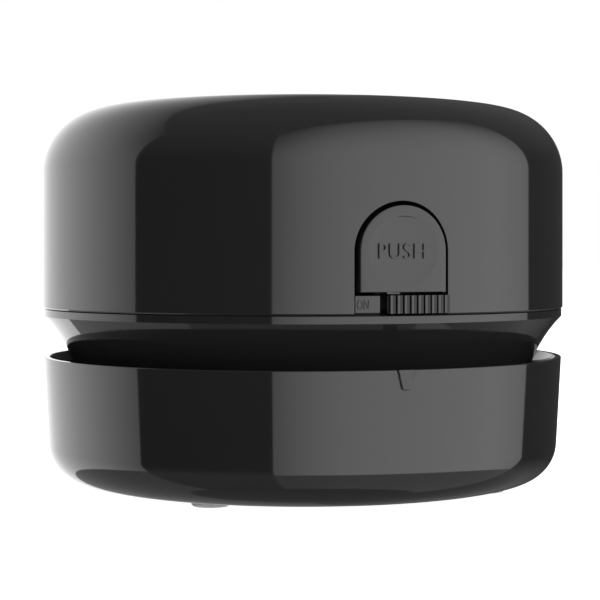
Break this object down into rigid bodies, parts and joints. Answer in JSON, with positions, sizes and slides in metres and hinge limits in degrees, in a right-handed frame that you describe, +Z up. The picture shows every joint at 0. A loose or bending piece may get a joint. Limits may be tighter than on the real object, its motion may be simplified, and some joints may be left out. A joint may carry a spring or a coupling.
{
  "type": "desktop mini vacuum cleaner",
  "caption": "Round desk vacuum: domed motor unit with a push button and a ribbed slide switch, lifting off an open dust bowl with a suction mouth and bristles below.",
  "frame": {"origin": "on the table under the middle of the body", "axes": "+Z up; the side with the push button faces -Y; +X to the right when facing the button"},
  "size_m": [0.088, 0.0893, 0.0637],
  "materials": {
    "gloss_black": "glossy moulded",
    "matte_black": "satin moulded",
    "pad_grey": "smooth, slippery",
    "bristle": "drawn nylon bristle",
    "seal_rubber": "soft, matt",
    "frame_white": "satin moulded",
    "filter_fabric": "non-woven felt",
    "fan_white": "moulded",
    "steel": "zinc plated",
    "magnet": "sintered ferrite",
    "brass_tab": "bright",
    "screw_steel": "zinc plated",
    "nickel": "nickel plated",
    "spring_steel": "drawn wire",
    "cell_wrap": "shrink sleeve",
    "board_green": "solder mask",
    "clear_plastic": "clear",
    "arm_grey": "acetal"
  },
  "bodies": {
    "dust_bowl": {"dust_bowl": "gloss_black", "glide_pads": "pad_grey", "intake_nozzle": "matte_black", "brush_plate": "matte_black", "brush_tufts": "bristle"},
    "motor_unit": {"neck_housing": "gloss_black", "top_cover": "gloss_black", "fan_housing": "matte_black", "seal_ring": "seal_rubber", "filter_frame": "frame_white", "filter_cloth": "filter_fabric", "motor_can": "steel", "motor_magnets": "magnet", "motor_end_cap": "frame_white", "motor_terminals": "brass_tab", "cover_screws": "screw_steel", "housing_screws": "screw_steel", "motor_screws": "screw_steel", "board_screws": "screw_steel", "battery_cell": "cell_wrap", "battery_contacts": "nickel", "battery_cradle": "matte_black", "control_board": "board_green", "charge_socket": "nickel", "charge_light_pipe": "clear_plastic", "latch_guide": "arm_grey", "latch_spring": "spring_steel", "switch_plate": "gloss_black", "slide_switch": "nickel"},
    "rotor": {"motor_shaft": "steel", "motor_armature": "steel", "impeller": "fan_white"},
    "release_button": {"release_button": "gloss_black", "latch_arm": "arm_grey"},
    "switch_knob": {"switch_knob": "gloss_black"},
    "switch_lever": {"switch_lever": "matte_black"}
  },
  "joints": [
    {"name": "unit_lift", "type": "slide", "parent": "dust_bowl", "child": "motor_unit", "axis": [0, 0, 1], "range_m": [0, 0.03]},
    {"name": "rotor_spin", "type": "hinge", "parent": "motor_unit", "child": "rotor", "pos_m": [0, 0, 0.02], "axis": [0, 0, 1], "continuous": true},
    {"name": "button_press", "type": "slide", "parent": "motor_unit", "child": "release_button", "axis": [0, 1, 0], "range_m": [0, 0.002], "stiffness_N_per_m": 600, "springref_m": -0.001, "deforming": ["latch_spring"]},
    {"name": "knob_slide", "type": "hinge", "parent": "motor_unit", "child": "switch_knob", "pos_m": [0, 0, 0.0313], "axis": [0, 0, 1], "range_deg": [-5.8, 0]},
    {"name": "lever_slide", "type": "slide", "parent": "motor_unit", "child": "switch_lever", "axis": [1, 0, 0], "range_m": [-0.0039, 0]}
  ],
  "couplings": [
    {"joint": "lever_slide", "follows": "knob_slide", "m_per_rad": 0.03778}
  ]
}
